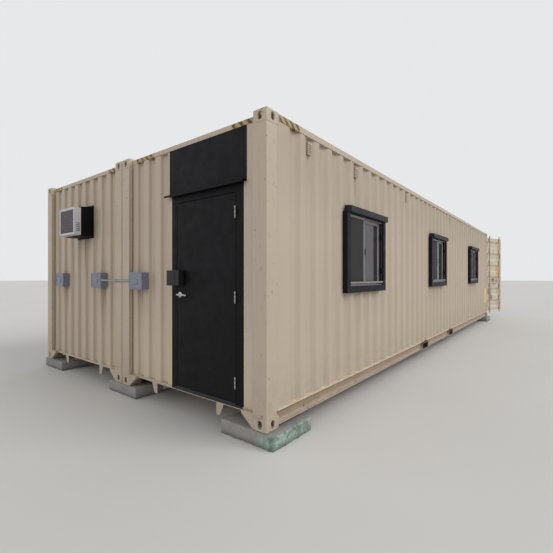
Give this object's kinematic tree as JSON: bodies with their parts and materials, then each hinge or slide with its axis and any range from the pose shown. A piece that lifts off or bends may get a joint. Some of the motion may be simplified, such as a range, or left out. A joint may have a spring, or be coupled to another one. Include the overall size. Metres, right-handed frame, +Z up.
{
  "type": "shipping container cabin",
  "caption": "Wide cabin of paired steel shipping containers with a black entrance door, sliding side windows, an air conditioner, and cargo doors with one leaf open.",
  "frame": {"origin": "middle of the ground under the cabin as it stands, with its open cargo leaf and air conditioner counted in", "axes": "+X to the right seen from the entrance front, +Y from the entrance front to the cargo doors, +Z up"},
  "size_m": [5.2569, 13.5926, 3.036],
  "materials": {
    "container_paint": "satin beige paint, weathered",
    "black_paint": "satin black paint",
    "concrete": "cast concrete with traces of green paint",
    "plywood": "worn plywood",
    "window_frame": "satin dark bronze paint",
    "sash": "grey frame",
    "glass": "clear window glass",
    "cooler_plastic": "off-white plastic",
    "cooler_metal": "painted sheet with a dark coil",
    "grey_enamel": "grey enamel",
    "galvanised": "galvanised",
    "stainless": "satin stainless steel",
    "threshold_metal": "mill finish",
    "rubber": "black rubber"
  },
  "bodies": {
    "cabin": {"bottom_castings": "container_paint", "bottom_side_rails": "container_paint", "concrete_blocks": "concrete", "conduit": "galvanised", "cooler_case": "cooler_metal", "cooler_grille": "cooler_plastic", "cooler_sleeve": "black_paint", "cross_members": "container_paint", "door_threshold": "threshold_metal", "drip_cap": "black_paint", "entrance_frame": "black_paint", "floor_boards": "plywood", "fork_pockets": "container_paint", "frame_hinges": "stainless", "front_headers": "container_paint", "front_posts": "container_paint", "front_sills": "container_paint", "front_wall_left": "container_paint", "front_wall_right": "container_paint", "front_wall_strip": "container_paint", "hinge_lugs": "container_paint", "inner_walls": "container_paint", "rear_beams": "container_paint", "rear_posts": "container_paint", "roof_panels": "container_paint", "shut_cargo_doors": "container_paint", "shut_door_brackets": "container_paint", "shut_door_gaskets": "rubber", "shut_door_rods": "galvanised", "shut_door_straps": "container_paint", "side_vents": "container_paint", "side_wall_left": "container_paint", "side_wall_right": "container_paint", "top_castings": "container_paint", "top_side_rails": "container_paint", "transom_panel": "black_paint", "tunnel_pans": "container_paint", "wall_boxes": "grey_enamel", "window_glass": "glass", "window_hoods": "window_frame", "window_sashes": "sash", "window_sills": "sash", "window_surrounds": "window_frame"},
    "entrance_door": {"entrance_leaf": "black_paint", "leaf_hinges": "stainless", "lock_box": "black_paint", "lever_rose": "stainless"},
    "door_lever": {"lever_handle": "stainless"},
    "cargo_door": {"cargo_leaf": "container_paint", "cargo_leaf_rods": "galvanised", "cargo_leaf_brackets": "container_paint", "cargo_leaf_gasket": "rubber", "cargo_leaf_straps": "container_paint"}
  },
  "joints": [
    {"name": "entrance_hinge", "type": "hinge", "parent": "cabin", "child": "entrance_door", "pos_m": [1.9224, -6.5178, 0.312], "axis": [0, 0, 1], "range_deg": [0, 160]},
    {"name": "lever_turn", "type": "hinge", "parent": "entrance_door", "child": "door_lever", "pos_m": [1.0579, -6.5168, 1.33], "axis": [0, 1, 0], "range_deg": [0, 45], "stiffness_Nm_per_rad": 1, "springref_deg": -34.38},
    {"name": "cargo_hinge", "type": "hinge", "parent": "cabin", "child": "cargo_door", "pos_m": [2.3379, 5.6262, 0.3], "axis": [0, 0, -1], "range_deg": [-107, 163]}
  ]
}
